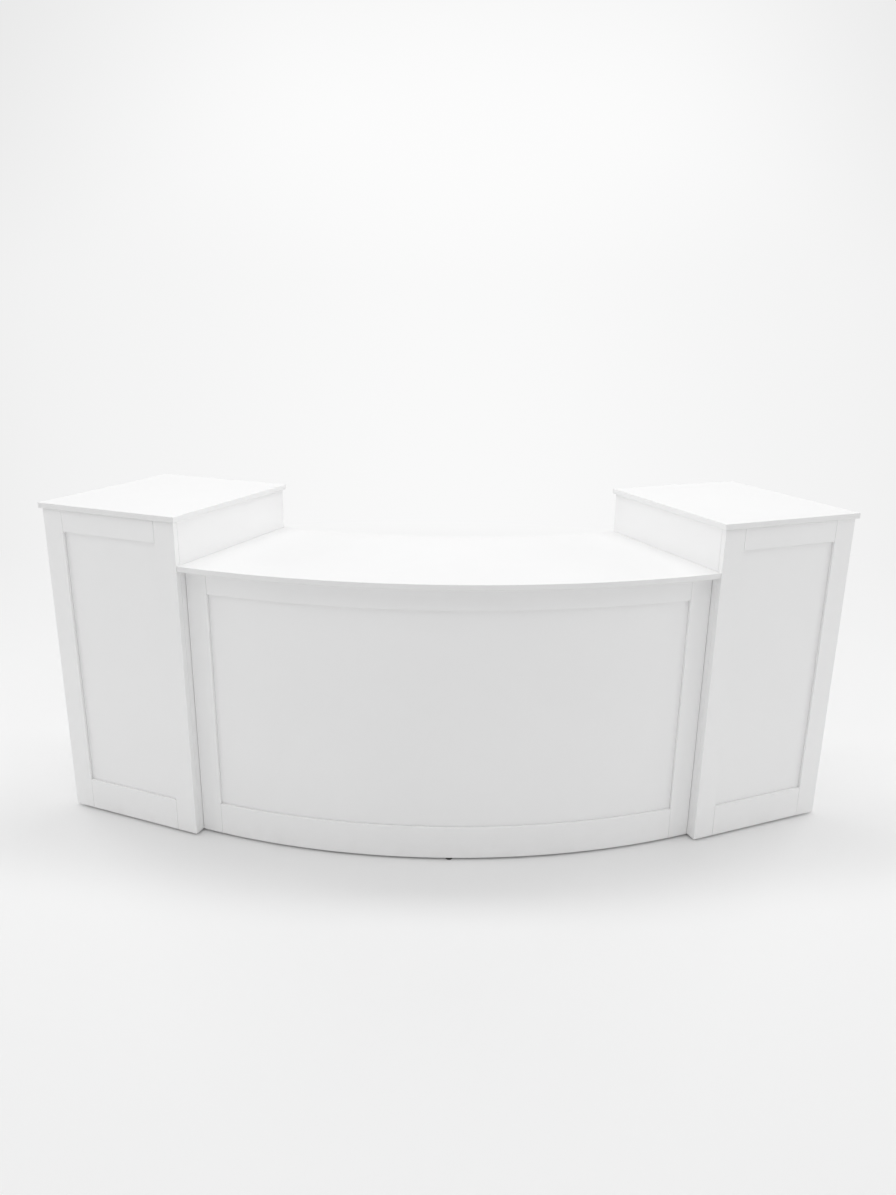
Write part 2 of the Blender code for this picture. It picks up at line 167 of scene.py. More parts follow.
# The fronts' rails, each with the rebate on its lower and on its upper edge
RAILS = (("bottom_rail", 0, REBATE_WIDTH), ("top_rail", REBATE_WIDTH, 0))

# Paint: its noises, each as cells to the metre, detail and roughness, the ranges in which they are read,
# and what they do to the film
PEEL_CELLS = 520.0
PEEL_DETAIL = 1.0
BROAD_PEEL = 0.22
PEEL_SHARES = (0.55, 0.45)
PEEL_HEIGHT = 0.00004
DRIFT_NOISE = (2.4, 3.0)
DRIFT_RANGE = (0.3, 0.7)
DRIFT_TONES = (0.994, 1.004)
SHEEN_NOISE = (11.0, 4.0, 0.6)
SHEEN_RANGE = (0.25, 0.75)
SHEEN_SPREAD = (-0.04, 0.05)

# Rubbed edges: the noises of patches and grit, and the level from which an edge is worn
PATCH_NOISE = (17.0, 3.0)
GRIT_NOISE = (420.0, 3.0, 0.6)
PATCH_SHARES = (0.65, 0.35)
WEAR_START = 0.68
WEAR_GAIN = 0.2
WEAR_BLEND = 0.08
WEAR_SHOWN = 0.35

# Hairlines: the turn and the stretch of each course, how thin they are, and the patches that have them
HAIRLINE_COURSES = ((0.5, (9.0, 260.0, 260.0)), (-1.1, (340.0, 12.0, 340.0)))
HAIRLINE_NOISE = (1.0, 1.0)
HAIRLINE_WIDTH = 0.004
HAIRLINE_PATCHES = (5.0, 3.0)
HAIRLINE_RANGE = (0.52, 0.66)
HAIRLINE_ROUGHENING = 0.2
HAIRLINE_DEPTH = 0.35

# Dust: its noise, how high it reaches on boards and on feet, and how much it roughens the paint
DUST_NOISE = (16.0, 5.0, 0.65)
DUST_RANGE = (0.35, 0.75)
BOARD_DUST_REACH = 0.16
FOOT_DUST_REACH = 0.012
FOOT_DUST_AMOUNT = 0.35
DUST_ROUGHENING = 0.4

# Nylon's grain and plate's spangle: noise, the range read, the surface's roughness and the bump's height
GRAIN_NOISE = (2600.0, 2.0, 0.6)
GRAIN_RANGE = (0.3, 0.7)
GRAIN_ROUGHNESS = (0.42, 0.58)
GRAIN_HEIGHT = 0.00003
SPANGLE_NOISE = (900.0, 3.0, 0.6)
SPANGLE_RANGE = (0.25, 0.75)
SPANGLE_ROUGHNESS = (0.24, 0.40)
SPANGLE_HEIGHT = 0.00001
PLATE_WEAR = 0.8

# Colours
WHITE = (0.90, 0.90, 0.90)
LINING_WHITE = (0.87, 0.87, 0.865)
BANDING_WHITE = (0.845, 0.845, 0.845, 1)
WORN_PAINT = (0.66, 0.64, 0.60, 1)
BOARD_DUST = (0.60, 0.58, 0.55, 1)
NYLON_TONES = ((0.022, 0.022, 0.024, 1), (0.040, 0.040, 0.042, 1))
NYLON_DUST = (0.30, 0.29, 0.27, 1)
PLATE_TONES = ((0.56, 0.56, 0.57, 1), (0.74, 0.74, 0.73, 1))
WORN_PLATE = (0.80, 0.79, 0.77, 1)

# Light: the surround's strength, and the lamps overhead, as place, size in metres and power in watts
SURROUND = 0.600
OVERHEAD_LAMPS = {
    "overhead": ((0, 0.65, 5.5), (6.0, 0.8), 85.3),
    "overhead_front": ((0, -2.5, 5.0), (6.0, 1.6), 32.5),
}
OVERHEAD_TARGET = (0, -0.3, 0.5)

# The lamps in pairs: distance out to each side, distance back, height and power
PAIRED_LAMPS = {
    "beside": (7.0, -0.8, 2.8, 57.0),
    "behind": (6.0, 5.0, 1.35, 125.0),
}
PAIRED_TARGET = (0, 0, 0.9)
PAIRED_SIZE = (3.0, 2.0)

# Floor: its size and surface, the distances from the middle over which it fades into the backdrop, and the
# point from which its directions are measured
FLOOR_RADIUS = 300.0
FLOOR_STEPS = 96
FLOOR_TONE = 0.877
FLOOR_ROUGHNESS = 0.9
FLOOR_FADE = (2.0, 4.6)
FLOOR_FOCUS = (0.0, -2.9, 0.0)

# Backdrop: the level that low directions are lifted to, and how softly; the glow's middle, its reach in
# radians and its tones; and the middle, reach and depth of the fall that darkens the upper corners
GLOW_LEVEL = 0.040
GLOW_BLEND = 0.035
GLOW_DIRECTION = (0.016, 1.0, 0.341)
GLOW_REACH = (0.163, 0.500)
GLOW_BRIGHT = 0.969
GLOW_DIM = 0.900
FALL_DIRECTION = (0.020, 1.0, -0.278)
FALL_REACH = (0.463, 0.777)
FALL_DEPTH = 0.115

# The photograph's camera, with its focal length in pixels of a frame 1195 pixels high
CAMERA_PLACE = (-0.0136, -2.9030, 1.6293)
CAMERA_YAW = math.radians(0.240)
CAMERA_PITCH = math.radians(17.077)
CAMERA_ROLL = math.radians(0.786)
CAMERA_FOCAL = 903.58
FRAME_HIGH = 1195
SENSOR_WIDTH = 36
CAMERA_REACH = 400


def heights(node):
    """Lowest and highest level of a node of the model."""
    low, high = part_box(node)
    return low[2], high[2]


def rectangle(low, high):
    return [(low[0], low[1]), (high[0], low[1]), (high[0], high[1]), (low[0], high[1])]


def eased_outline(corners, easing, fine=0):
    """Round the corners of a closed outline that runs counter-clockwise.

    Where the outline turns by t, an arc of the easing's radius leaves its edge easing * tan(t / 2) before
    the corner and turns through t. The easing is one radius, or one for each corner. Two holding points lie
    beside each arc, and fine more points share out each straight stretch. Returns the points; the normals
    along which each is drawn in, and how far; the mitre that it follows from there on, which is the sum of
    its edges' normals n and m over 1 + n.m; and a mask that is 1 on the arcs and 0 elsewhere.
    """
    corners = np.asarray(corners, float)
    easing = np.broadcast_to(easing, len(corners))
    along = corners - np.roll(corners, 1, axis=0)
    along /= np.linalg.norm(along, axis=1)[:, None]
    after = np.roll(along, -1, axis=0)
    turn = np.arctan2(along[:, 0] * after[:, 1] - along[:, 1] * after[:, 0], (along * after).sum(1))
    reach = (easing * np.tan(np.abs(turn) / 2))[:, None]
    outward = np.stack([along[:, 1], -along[:, 0]], 1)
    bend = (np.sign(turn) * easing)[:, None, None]

    angle = turn[:, None] * np.linspace(0, 1, ARC_STEPS + 1)
    cos, sin = np.cos(angle), np.sin(angle)
    ox, oy = outward[:, :1], outward[:, 1:]
    arc_normal = np.stack([ox * cos - oy * sin, ox * sin + oy * cos], -1)
    start = corners - along * reach
    arc = start[:, None] + bend * (arc_normal - outward[:, None])
    leaving = arc_normal[:, -1]
    mitre = (outward + leaving) / (1 + (outward * leaving).sum(1))[:, None]

    before = (start - along * HOLD)[:, None]
    beyond = (corners + after * (reach + HOLD))[:, None]
    share = np.linspace(0, 1, fine + 2)[1:-1, None]
    stretch = beyond + share * (np.roll(before, -1, axis=0) - beyond)
    points = np.concatenate([before, arc, beyond, stretch], 1)
    first, last = arc_normal[:, :1], np.repeat(arc_normal[:, -1:], 1 + fine, 1)
    normals = np.concatenate([first, arc_normal, last], 1)
    mitres = np.concatenate([first, np.repeat(mitre[:, None], ARC_STEPS + 1, 1), last], 1)
    mask = np.zeros(points.shape[:2])
    mask[:, 1:ARC_STEPS + 2] = 1
    limit = np.where((mask > 0) & (turn[:, None] > 0), easing[:, None], np.inf)
    return points.reshape(-1, 2), normals.reshape(-1, 2), limit.ravel(), mitres.reshape(-1, 2), mask.ravel()


def carried(outline, run, place, easing, steps=1):
    """Carry an outline along a run and round both ends.

    A ring of a rounded end is the outline drawn in by easing * (1 - cos a) and set back from the end by
    easing * (1 - sin a), as a falls from a right angle to zero. One more ring, drawn further in, holds the
    flat of the end. The easing is one radius, or one for each end. run turns the first coordinate, a
    set-back and a share of the length into the third coordinate, and place turns all three into the model's
    frame.
    """
    points, normals, limit, mitres, edge = outline
    first_end, last_end = np.broadcast_to(easing, 2)
    angle = np.linspace(math.pi / 2, 0, ARC_STEPS + 1)
    drawn, back, zero = 1 - np.cos(angle), 1 - np.sin(angle), np.zeros(ARC_STEPS + 2)
    middle = np.linspace(0, 1, steps + 1)
    held = HOLD + first_end + middle * (last_end - first_end)
    near = np.concatenate([[first_end + HOLD], first_end * drawn])
    far = np.concatenate([last_end * drawn[::-1], [last_end + HOLD]])
    inset = np.concatenate([near, 0 * middle, far])[:, None]
    setback = np.concatenate([[0], first_end * back, held, last_end * back[::-1], [0]])[:, None]
    share = np.concatenate([zero, middle, zero + 1])[:, None]
    rounded = np.concatenate([[0], 0 * angle + 1, 0 * middle, 0 * angle + 1, [0]])[:, None]

    by_normal = np.minimum(inset, limit)
    by_mitre = np.maximum(inset - limit, 0)
    first = points[:, 0] - by_normal * normals[:, 0] - by_mitre * mitres[:, 0]
    second = points[:, 1] - by_normal * normals[:, 1] - by_mitre * mitres[:, 1]
    mask = np.maximum(rounded, np.where(inset > np.maximum(first_end, last_end), 0, edge))
    return place(first, second, run(first, setback, share)), mask


def straight(start, stop):
    """A straight run: the set-back is taken off both ends."""
    def run(first, setback, share):
        return (1 - share) * (start + setback) + share * (stop - setback)
    return run


def end_turn(side, across):
    """The turn at which a radius meets the plane at a distance across, beside one end of the bow."""
    def turn(radius, setback):
        return side * (HALF_TURN + np.arcsin((across - setback) / radius))
    return turn


def middle_turn(side, distance):
    """The turn at which a radius meets the plane at a distance beside the bow's middle."""
    def turn(radius, setback):
        return side * np.arcsin((distance + setback) / radius)
    return turn


def bow_run(begin, end):
    """A run round the bow between two sawn ends, each a turn that depends on the radius."""
    def run(radius, setback, share):
        return (1 - share) * begin(radius, setback) + share * end(radius, setback)
    return run


def stacked(x, y, z):
    return np.stack(np.broadcast_arrays(x, y, z), -1)


def on_tower(side):
    """Place points given by distance across, radius and height on one tower's straight plan."""
    def place(across, radius, height):
        return stacked(side * (across * COS + radius * SIN), BOW_Y + across * SIN - radius * COS, height)
    return place


def along_tower(side):
    """The same for points given by radius, height and distance across."""
    def place(radius, height, across):
        return on_tower(side)(across, radius, height)
    return place


def on_bow(radius, height, turn):
    return stacked(radius * np.sin(turn), BOW_Y - radius * np.cos(turn), height)


def beside_end(side):
    """Place points by distance across and true radius on the bow, beside one of its ends."""
    def place(across, radius, height):
        return on_bow(radius, height, side * (HALF_TURN + np.arcsin(across / radius)))
    return place


def on_middle(across, radius, height):
    return stacked(across, BOW_Y - radius, height)


def new_piece(name, grid, masks, material, body, node=None):
    """Skin a grid of closed rings, with both end rings filled, and set it on its body."""
    rings, count = grid.shape[:2]
    corner = np.arange(rings * count).reshape(rings, count)
    beside = np.roll(corner, -1, axis=1)
    quads = np.stack([corner[:-1], beside[:-1], beside[1:], corner[1:]], -1).reshape(-1, 4)
    vertices = grid.reshape(-1, 3)
    a, b, c, d = (vertices[quads[:, i]] for i in range(4))
    volume = np.einsum("ij,ij->", a, np.cross(b, c) + np.cross(c, d))
    faces = quads.tolist() + [corner[0, ::-1].tolist(), corner[-1].tolist()]
    for ring, sign in ((vertices[corner[0]], -1), (vertices[corner[-1]], 1)):
        volume += sign * (np.cross(ring[1:-1], ring[2:]) @ ring[0]).sum()
    if volume < 0:
        faces = [face[::-1] for face in faces]
    mesh = bpy.data.meshes.new(name)
    mesh.from_pydata(vertices.tolist(), [], faces)
    for mask_name, mask in masks.items():
        values = np.broadcast_to(mask, grid.shape[:2]).astype(np.float32).ravel()
        mesh.attributes.new(mask_name, "FLOAT", "POINT").data.foreach_set("value", values)
    shape = bmesh.new()
    shape.from_mesh(mesh)
    bmesh.ops.remove_doubles(shape, verts=shape.verts, dist=MERGE)
    shape.to_mesh(mesh)
    shape.free()
    mesh.materials.append(material)
    mesh.shade_smooth()
    mesh.set_sharp_from_angle(angle=SHARP_ANGLE)
    piece = bpy.data.objects.new(name, mesh)
    bpy.context.scene.collection.objects.link(piece)
    weighted = piece.modifiers.new("even_flats", "WEIGHTED_NORMAL")
    weighted.keep_sharp = True
    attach(piece, body)
    if node:
        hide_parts(node)


def board(name, outline, run, place, material, easing=BOARD_EASING, steps=1, replaces=True):
    """A board of the fixed body; a top's band is 1 on what lies between its upper and lower faces."""
    grid, mask = carried(outline, run, place, easing, steps)
    level = grid[..., 2]
    band = (level > level.min() + MERGE) & (level < level.max() - MERGE)
    masks = {"edge": mask, "band": band} if material is TOP_PAINT else {"edge": mask}
    new_piece(name, grid, masks, material, "counter", name if replaces else None)


def node(tree, kind, inputs=None, **settings):
    """Add a shader node, set its properties, then link or set each input that is named."""
    item = tree.nodes.new("ShaderNode" + kind)
    for name, value in settings.items():
        setattr(item, name, value)
    for name, value in (inputs or {}).items():
        if isinstance(value, bpy.types.NodeSocket):
            tree.links.new(value, item.inputs[name])
        else:
            item.inputs[name].default_value = value
    return item


def maths(tree, operation, first, second=0.0):
    return node(tree, "Math", {0: first, 1: second}, operation=operation).outputs[0]


def noise(tree, place, scale, detail, roughness=0.5):
    inputs = {"Vector": place, "Scale": scale, "Detail": detail, "Roughness": roughness}
    return node(tree, "TexNoise", inputs).outputs["Fac"]


def ramp(tree, value, low, high, to_low=0.0, to_high=1.0):
    """Carry a value smoothly from one range into another, held at both ends."""
    inputs = {"Value": value, "From Min": low, "From Max": high, "To Min": to_low, "To Max": to_high}
    return node(tree, "MapRange", inputs, interpolation_type="SMOOTHSTEP").outputs["Result"]


def shared(tree, first, second, shares):
    """Add two values, each times its share."""
    parts = [maths(tree, "MULTIPLY", value, share) for value, share in zip((first, second), shares)]
    return maths(tree, "ADD", *parts)


def blended(tree, share, first, second):
    """Mix two colours by a share."""
    return node(tree, "Mix", {0: share, 6: first, 7: second}, data_type="RGBA").outputs[2]


def stretched(tree, place, turn, stretch):
    """Turn a place about the upright axis and stretch it: a noise read there draws out into lines."""
    turned = node(tree, "Mapping", {"Vector": place, "Rotation": (0, 0, turn)}).outputs[0]
    return node(tree, "Mapping", {"Vector": turned, "Scale": stretch}).outputs[0]


def new_group(name, inputs, outputs):
    """Start a shader node group; returns its tree, its input sockets and its output sockets."""
    tree = bpy.data.node_groups.new(name, "ShaderNodeTree")
    for socket, kind in inputs.items():
        tree.interface.new_socket(socket, in_out="INPUT", socket_type="NodeSocket" + kind)
    for socket, kind in outputs.items():
        tree.interface.new_socket(socket, in_out="OUTPUT", socket_type="NodeSocket" + kind)
    return tree, tree.nodes.new("NodeGroupInput").outputs, tree.nodes.new("NodeGroupOutput").inputs


def grouped(tree, group, inputs):
    return node(tree, "Group", inputs, node_tree=group).outputs


def paint_film_group():
    """A sprayed film: the fine orange peel of its skin, a slow drift of tone, and patches of sheen."""
    tree, given, out = new_group(
        "paint_film",
        {"Place": "Vector", "Cells": "Float"},
        {"Height": "Float", "Drift": "Float", "Sheen": "Float"},
    )
    place = given["Place"]
    fine = noise(tree, place, given["Cells"], PEEL_DETAIL)
    broad = noise(tree, place, maths(tree, "MULTIPLY", given["Cells"], BROAD_PEEL), PEEL_DETAIL)
    tree.links.new(shared(tree, fine, broad, PEEL_SHARES), out["Height"])
    tree.links.new(ramp(tree, noise(tree, place, *DRIFT_NOISE), *DRIFT_RANGE), out["Drift"])
    tree.links.new(ramp(tree, noise(tree, place, *SHEEN_NOISE), *SHEEN_RANGE), out["Sheen"])
    return tree


def edge_wear_group():
    """Rubbed edges: the eased edge, kept where a broad patch and a fine grit are both high."""
    tree, given, out = new_group(
        "edge_wear", {"Place": "Vector", "Edge": "Float", "Amount": "Float"}, {"Mask": "Float"}
    )
    patch = noise(tree, given["Place"], *PATCH_NOISE)
    grit = noise(tree, given["Place"], *GRIT_NOISE)
    both = shared(tree, patch, grit, PATCH_SHARES)
    low = maths(tree, "SUBTRACT", WEAR_START, maths(tree, "MULTIPLY", given["Amount"], WEAR_GAIN))
    kept = ramp(tree, both, low, maths(tree, "ADD", low, WEAR_BLEND))
    tree.links.new(maths(tree, "MULTIPLY", kept, given["Edge"]), out["Mask"])
    return tree


def hairlines_group():
    """Hairline scratches: a thin band round the middle level of two noises drawn out into lines."""
    tree, given, out = new_group("hairlines", {"Place": "Vector", "Amount": "Float"}, {"Mask": "Float"})
    lines = []
    for turn, stretch in HAIRLINE_COURSES:
        level = noise(tree, stretched(tree, given["Place"], turn, stretch), *HAIRLINE_NOISE)
        away = maths(tree, "ABSOLUTE", maths(tree, "SUBTRACT", level, 0.5))
        lines.append(ramp(tree, away, HAIRLINE_WIDTH, 0.0))
    where = ramp(tree, noise(tree, given["Place"], *HAIRLINE_PATCHES), *HAIRLINE_RANGE)
    drawn = maths(tree, "MULTIPLY", maths(tree, "MAXIMUM", *lines), where)
    tree.links.new(maths(tree, "MULTIPLY", drawn, given["Amount"]), out["Mask"])
    return tree


def floor_dust_group():
    """Dust and scuffs that thin out with height above the floor, broken up by a noise."""
    tree, given, out = new_group(
        "floor_dust", {"Place": "Vector", "Reach": "Float", "Amount": "Float"}, {"Mask": "Float"}
    )
    height = node(tree, "SeparateXYZ", {0: given["Place"]}).outputs["Z"]
    low = ramp(tree, maths(tree, "DIVIDE", height, given["Reach"]), 1.0, 0.0)
    cloud = ramp(tree, noise(tree, given["Place"], *DUST_NOISE), *DUST_RANGE)
    dusty = maths(tree, "MULTIPLY", maths(tree, "MULTIPLY", low, low), cloud)
    tree.links.new(maths(tree, "MULTIPLY", dusty, given["Amount"]), out["Mask"])
    return tree


def backdrop_glow_group():
    """The backdrop's brightness: a smooth fall with the angle away from one bright direction.

    A second fall, with the angle away from a lower direction, darkens the upper corners. Directions near
    and below the horizon are lifted to one level, so that the floor and the backdrop meet in one tone.
    """
    tree, given, out = new_group("backdrop_glow", {"Direction": "Vector"}, {"Colour": "Color"})

    def normalized(vector):
        return node(tree, "VectorMath", {0: vector}, operation="NORMALIZE").outputs["Vector"]

    parts = node(tree, "SeparateXYZ", {0: normalized(given["Direction"])}).outputs
    lifted = node(tree, "Math", {0: parts["Z"], 1: GLOW_LEVEL, 2: GLOW_BLEND}, operation="SMOOTH_MAX")
    joined = node(tree, "CombineXYZ", {0: parts["X"], 1: parts["Y"], 2: lifted.outputs[0]})
    toward = normalized(joined.outputs[0])

    def angle_from(direction):
        aim = Vector(direction).normalized()
        aligned = node(tree, "VectorMath", {0: toward, 1: aim}, operation="DOT_PRODUCT")
        return maths(tree, "ARCCOSINE", aligned.outputs["Value"])

    glow = ramp(tree, angle_from(GLOW_DIRECTION), *GLOW_REACH, GLOW_BRIGHT, GLOW_DIM)
    fall = ramp(tree, angle_from(FALL_DIRECTION), *FALL_REACH, 0.0, FALL_DEPTH)
    level = maths(tree, "SUBTRACT", glow, fall)
    tree.links.new(node(tree, "CombineColor", {0: level, 1: level, 2: level}).outputs[0], out["Colour"])
    return tree


def blank_material(name):
    material = bpy.data.materials.new(name)
    material.use_nodes = True
    tree = material.node_tree
    return material, tree, tree.nodes["Principled BSDF"]


def dress(tree, shader, colour, rough, height, distance):
    """Give a shader its colour and roughness, and a bump that stands the distance high where height is 1."""
    bump = node(tree, "Bump", {"Height": height, "Distance": distance, "Strength": 1.0})
    tree.links.new(colour, shader.inputs["Base Color"])
    tree.links.new(rough, shader.inputs["Roughness"])
    tree.links.new(bump.outputs[0], shader.inputs["Normal"])


def painted(name, colour, sheen, wear, dust, scratches, banding=None):
    """White paint: orange peel, drifting tone, rubbed edges, hairlines, dust low down, and a banded rim."""
    material, tree, shader = blank_material(name)
    place = node(tree, "TexCoord").outputs["Object"]
    edge = node(tree, "Attribute", attribute_name="edge").outputs["Fac"]
    film = grouped(tree, PAINT_FILM, {"Place": place, "Cells": PEEL_CELLS})
    worn = grouped(tree, EDGE_WEAR, {"Place": place, "Edge": edge, "Amount": wear})["Mask"]
    scratched = grouped(tree, HAIRLINES, {"Place": place, "Amount": scratches})["Mask"]
    dusty = grouped(tree, FLOOR_DUST, {"Place": place, "Reach": BOARD_DUST_REACH, "Amount": dust})["Mask"]

    darker, lighter = ((*(factor * part for part in colour), 1) for factor in DRIFT_TONES)
    tone = blended(tree, film["Drift"], darker, lighter)
    if banding:
        band = node(tree, "Attribute", attribute_name="band").outputs["Fac"]
        tone = blended(tree, band, tone, banding)
    tone = blended(tree, dusty, tone, BOARD_DUST)
    tone = blended(tree, maths(tree, "MULTIPLY", worn, WEAR_SHOWN), tone, WORN_PAINT)
    rough = ramp(tree, film["Sheen"], 0.0, 1.0, *(sheen + spread for spread in SHEEN_SPREAD))
    rough = maths(tree, "ADD", rough, maths(tree, "MULTIPLY", dusty, DUST_ROUGHENING))
    rough = maths(tree, "ADD", rough, maths(tree, "MULTIPLY", scratched, HAIRLINE_ROUGHENING))
    height = maths(tree, "SUBTRACT", film["Height"], maths(tree, "MULTIPLY", scratched, HAIRLINE_DEPTH))
    dress(tree, shader, tone, rough, height, PEEL_HEIGHT)
    return material


def moulded_nylon():
    """Dark moulded nylon with a fine spark-eroded grain, greyed by dust towards the floor."""
    material, tree, shader = blank_material("dark_nylon")
    place = node(tree, "TexCoord").outputs["Object"]
    grain = noise(tree, place, *GRAIN_NOISE)
    settled = {"Place": place, "Reach": FOOT_DUST_REACH, "Amount": FOOT_DUST_AMOUNT}
    dusty = grouped(tree, FLOOR_DUST, settled)["Mask"]
    shade = blended(tree, grain, *NYLON_TONES)
    shade = blended(tree, dusty, shade, NYLON_DUST)
    rough = ramp(tree, grain, *GRAIN_RANGE, *GRAIN_ROUGHNESS)
    dress(tree, shader, shade, rough, grain, GRAIN_HEIGHT)
    return material


def plated_steel():
    """Bright zinc plate: a soft spangle in its tone and roughness, and rubbed edges."""
    material, tree, shader = blank_material("plated_steel")
    place = node(tree, "TexCoord").outputs["Object"]
    edge = node(tree, "Attribute", attribute_name="edge").outputs["Fac"]
    spangle = noise(tree, place, *SPANGLE_NOISE)
    worn = grouped(tree, EDGE_WEAR, {"Place": place, "Edge": edge, "Amount": PLATE_WEAR})["Mask"]
    tone = blended(tree, spangle, *PLATE_TONES)
    tone = blended(tree, worn, tone, WORN_PLATE)
    rough = ramp(tree, spangle, *SPANGLE_RANGE, *SPANGLE_ROUGHNESS)
    dress(tree, shader, tone, rough, spangle, SPANGLE_HEIGHT)
    shader.inputs["Metallic"].default_value = 1.0
    return material


PAINT_FILM = paint_film_group()
EDGE_WEAR = edge_wear_group()
HAIRLINES = hairlines_group()
FLOOR_DUST = floor_dust_group()
BACKDROP_GLOW = backdrop_glow_group()
PAINT = painted("white_paint", WHITE, sheen=0.42, wear=0.35, dust=0.10, scratches=0.0)
TOP_PAINT = painted(
    "white_top_paint", WHITE, sheen=0.36, wear=0.45, dust=0.0, scratches=0.6, banding=BANDING_WHITE
)
LINING = painted("white_lining", LINING_WHITE, sheen=0.48, wear=0.40, dust=0.18, scratches=0.3)
NYLON = moulded_nylon()
PLATED = plated_steel()


def case_boards(back, front):
    """The radii between which a case's deck, shelf and back rail lie."""
    return (
        ("deck", (back, front)),
        ("shelf", (back + SHELF_SETBACK, front)),
        ("back_rail", (back, back + BOARD)),
    )


def tower(side_name):
    """One tower's boards: the flat framed front, and the open case behind it under its slab."""
    side = SIDES[side_name]
    prefix = side_name + "_tower_"
    upright, crosswise = on_tower(side), along_tower(side)
    front, back = TOWER_FRONT, TOWER_FRONT - FRAME_THICKNESS
    seat = back + REBATE_DEPTH
    wide, near = TOWER_WIDTH, STILE_WIDTH

    def standing(part, low, high, easing=FRAME_EASING, material=PAINT, ends=FRAME_EASING):
        outline = eased_outline(rectangle(low, high), easing)
        board(prefix + part, outline, straight(*heights(prefix + part)), upright, material, easing=ends)

    stile = [(0, back), (near - REBATE_WIDTH, back), (near - REBATE_WIDTH, seat),
             (near, seat), (near, front), (0, front)]
    facing = [(wide - across, radius) for across, radius in stile[::-1]]
    for part, corners in (("inner_stile", stile), ("outer_stile", facing)):
        outline = eased_outline(corners, FRAME_EASING)
        run = straight(*heights(prefix + part))
        board(prefix + part, outline, run, upright, PAINT, easing=FRAME_EASING)

    shown = straight(near + 2 * PAINT_LINE, wide - near - 2 * PAINT_LINE)
    hidden = straight(near - REBATE_WIDTH + FIT, wide - near + REBATE_WIDTH - FIT)
    for part, rebate_low, rebate_high in RAILS:
        low, high = heights(prefix + part)
        face = rectangle((seat + PAINT_LINE, low), (front, high))
        lap = rectangle((back, low + rebate_low), (seat - PAINT_LINE, high - rebate_high))
        for name, corners, run in ((part, face, shown), (part + "_lap", lap, hidden)):
            outline = eased_outline(corners, FRAME_EASING)
            board(prefix + name, outline, run, crosswise, PAINT, easing=FRAME_EASING, replaces=name == part)

    inset = near - REBATE_WIDTH + FIT
    standing("front_panel", (inset, back), (wide - inset, seat - PAINT_LINE))
    case_front = back - 2 * PAINT_LINE
    standing("inner_side", (0, TOWER_BACK), (BOARD, case_front))
    standing("outer_side", (wide - BOARD, TOWER_BACK), (wide, case_front))
    standing("top", (-TOWER_OVERHANG, TOWER_BACK - TOWER_OVERHANG),
             (wide + TOWER_OVERHANG, front + TOWER_OVERHANG), TOP_EASING, TOP_PAINT,
             (TOP_UNDER_EASING, TOP_EASING))

    between = straight(BOARD + PAINT_LINE, wide - BOARD - PAINT_LINE)
    for part, radii in case_boards(TOWER_BACK, case_front):
        low, high = heights(prefix + part)
        outline = eased_outline(rectangle((radii[0], low), (radii[1], high)), BOARD_EASING)
        board(prefix + part, outline, between, crosswise, LINING)


def counter():
    """The bowed counter's boards: the swept front, the case with its divider, and the overhanging top."""
    front, back = BOW_RADIUS, BOW_RADIUS - FRAME_THICKNESS
    seat = back + REBATE_DEPTH
    case_front = back - 2 * PAINT_LINE

    def swept(part, radii, levels, run, material=PAINT, easing=FRAME_EASING,
              steps=BOW_STEPS, ends=FRAME_EASING, replaces=True):
        outline = eased_outline(rectangle((radii[0], levels[0]), (radii[1], levels[1])), easing)
        board("counter_" + part, outline, run, on_bow, material, ends, steps, replaces)

    def between_ends(across):
        return bow_run(end_turn(-1, across), end_turn(1, across))

    shown = between_ends(-STILE_WIDTH - 2 * PAINT_LINE)
    housed = between_ends(REBATE_WIDTH - STILE_WIDTH - FIT)
    for part, rebate_low, rebate_high in RAILS:
        low, high = heights("counter_" + part)
        swept(part, (seat + PAINT_LINE, front), (low, high), shown)
        swept(part + "_lap", (back, seat - PAINT_LINE), (low + rebate_low, high - rebate_high), housed,
              replaces=False)
    swept("front_panel", (back, seat - PAINT_LINE), heights("counter_front_panel"), housed)
    swept("top", (TOWER_BACK, TOP_FRONT), heights("counter_top"), between_ends(-FIT), TOP_PAINT,
          easing=(TOP_UNDER_EASING, TOP_UNDER_EASING, TOP_EASING, TOP_EASING))

    near = -STILE_WIDTH
    stile = [(near + REBATE_WIDTH, back), (-UNIT_LINE, back), (-UNIT_LINE, front), (near, front),
             (near, seat), (near + REBATE_WIDTH, seat)]
    for name, side in SIDES.items():
        prefix = "counter_" + name + "_"
        stile_run = straight(*heights(prefix + "stile"))
        outline = eased_outline(stile, FRAME_EASING, fine=STILE_STEPS)
        board(prefix + "stile", outline, stile_run, beside_end(side), PAINT, easing=FRAME_EASING)
        end = eased_outline(rectangle((-FIT - BOARD, COUNTER_BACK), (-FIT, case_front)), BOARD_EASING)
        board(prefix + "end", end, straight(*heights(prefix + "end")), on_tower(side), LINING)

        inner_end = middle_turn(side, BOARD / 2 + PAINT_LINE)
        half = bow_run(inner_end, end_turn(side, -FIT - BOARD - PAINT_LINE))
        for part, radii in case_boards(COUNTER_BACK, case_front):
            swept(name + "_" + part, radii, heights(prefix + part), half, LINING, BOARD_EASING,
                  BOW_STEPS // 2, BOARD_EASING)

    divider = eased_outline(rectangle((-BOARD / 2, COUNTER_BACK), (BOARD / 2, case_front)), BOARD_EASING)
    board("counter_divider", divider, straight(*heights("counter_divider")), on_middle, LINING)


def hexagon(turn, apothem, corner):
    """Radius of a hexagon, apothem / cos(turn from a flat's middle), with its corners cut to a circle."""
    away = np.mod(turn + math.pi / 6, math.pi / 3) - math.pi / 6
    return np.minimum(apothem / np.cos(away), corner)


def full_turn(columns):
    return np.linspace(0, 2 * math.pi, columns, endpoint=False)


